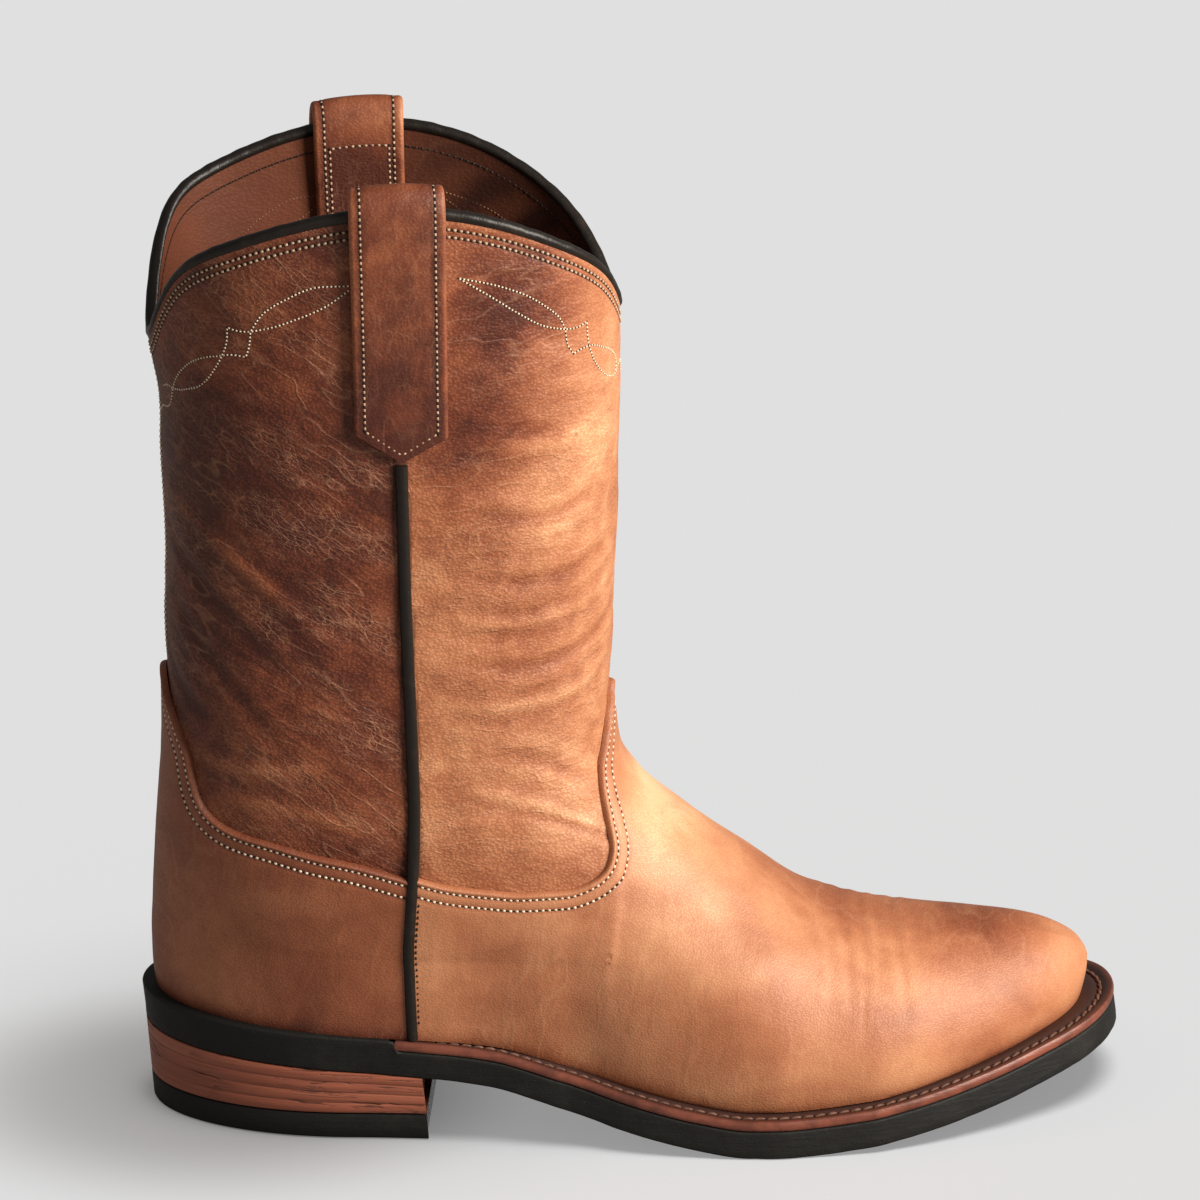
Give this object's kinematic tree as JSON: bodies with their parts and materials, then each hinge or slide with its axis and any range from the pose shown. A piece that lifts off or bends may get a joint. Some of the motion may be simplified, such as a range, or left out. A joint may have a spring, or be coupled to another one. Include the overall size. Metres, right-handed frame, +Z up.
{
  "type": "roper boot",
  "caption": "Right pull-on roper boot with a round toe, scalloped collar with pull straps, welted rubber sole and low stacked heel.",
  "frame": {"origin": "centre of the heel's flat resting face", "axes": "+X to the toe, +Y to the inner (medial) side of the foot, +Z up the shaft"},
  "size_m": [0.302, 0.1101, 0.3091],
  "materials": {
    "black_rubber": "matt, slightly textured",
    "stacked_leather": "burnished stacked layers",
    "welt_leather": "satin, dark stained top with a red-brown edge",
    "tan_leather": "distressed pull-up leather, satin",
    "lining_leather": "matt",
    "black_leather": "satin"
  },
  "bodies": {
    "root": {"outsole": "black_rubber", "heel_cap": "black_rubber", "heel_stack": "stacked_leather", "welt": "welt_leather", "insole": "lining_leather", "upper": "tan_leather", "vamp": "tan_leather", "counter": "tan_leather", "side_piping_lateral": "black_leather", "side_piping_medial": "black_leather", "collar_binding": "black_leather", "pull_strap_lateral": "tan_leather", "pull_strap_medial": "tan_leather"}
  },
  "joints": []
}
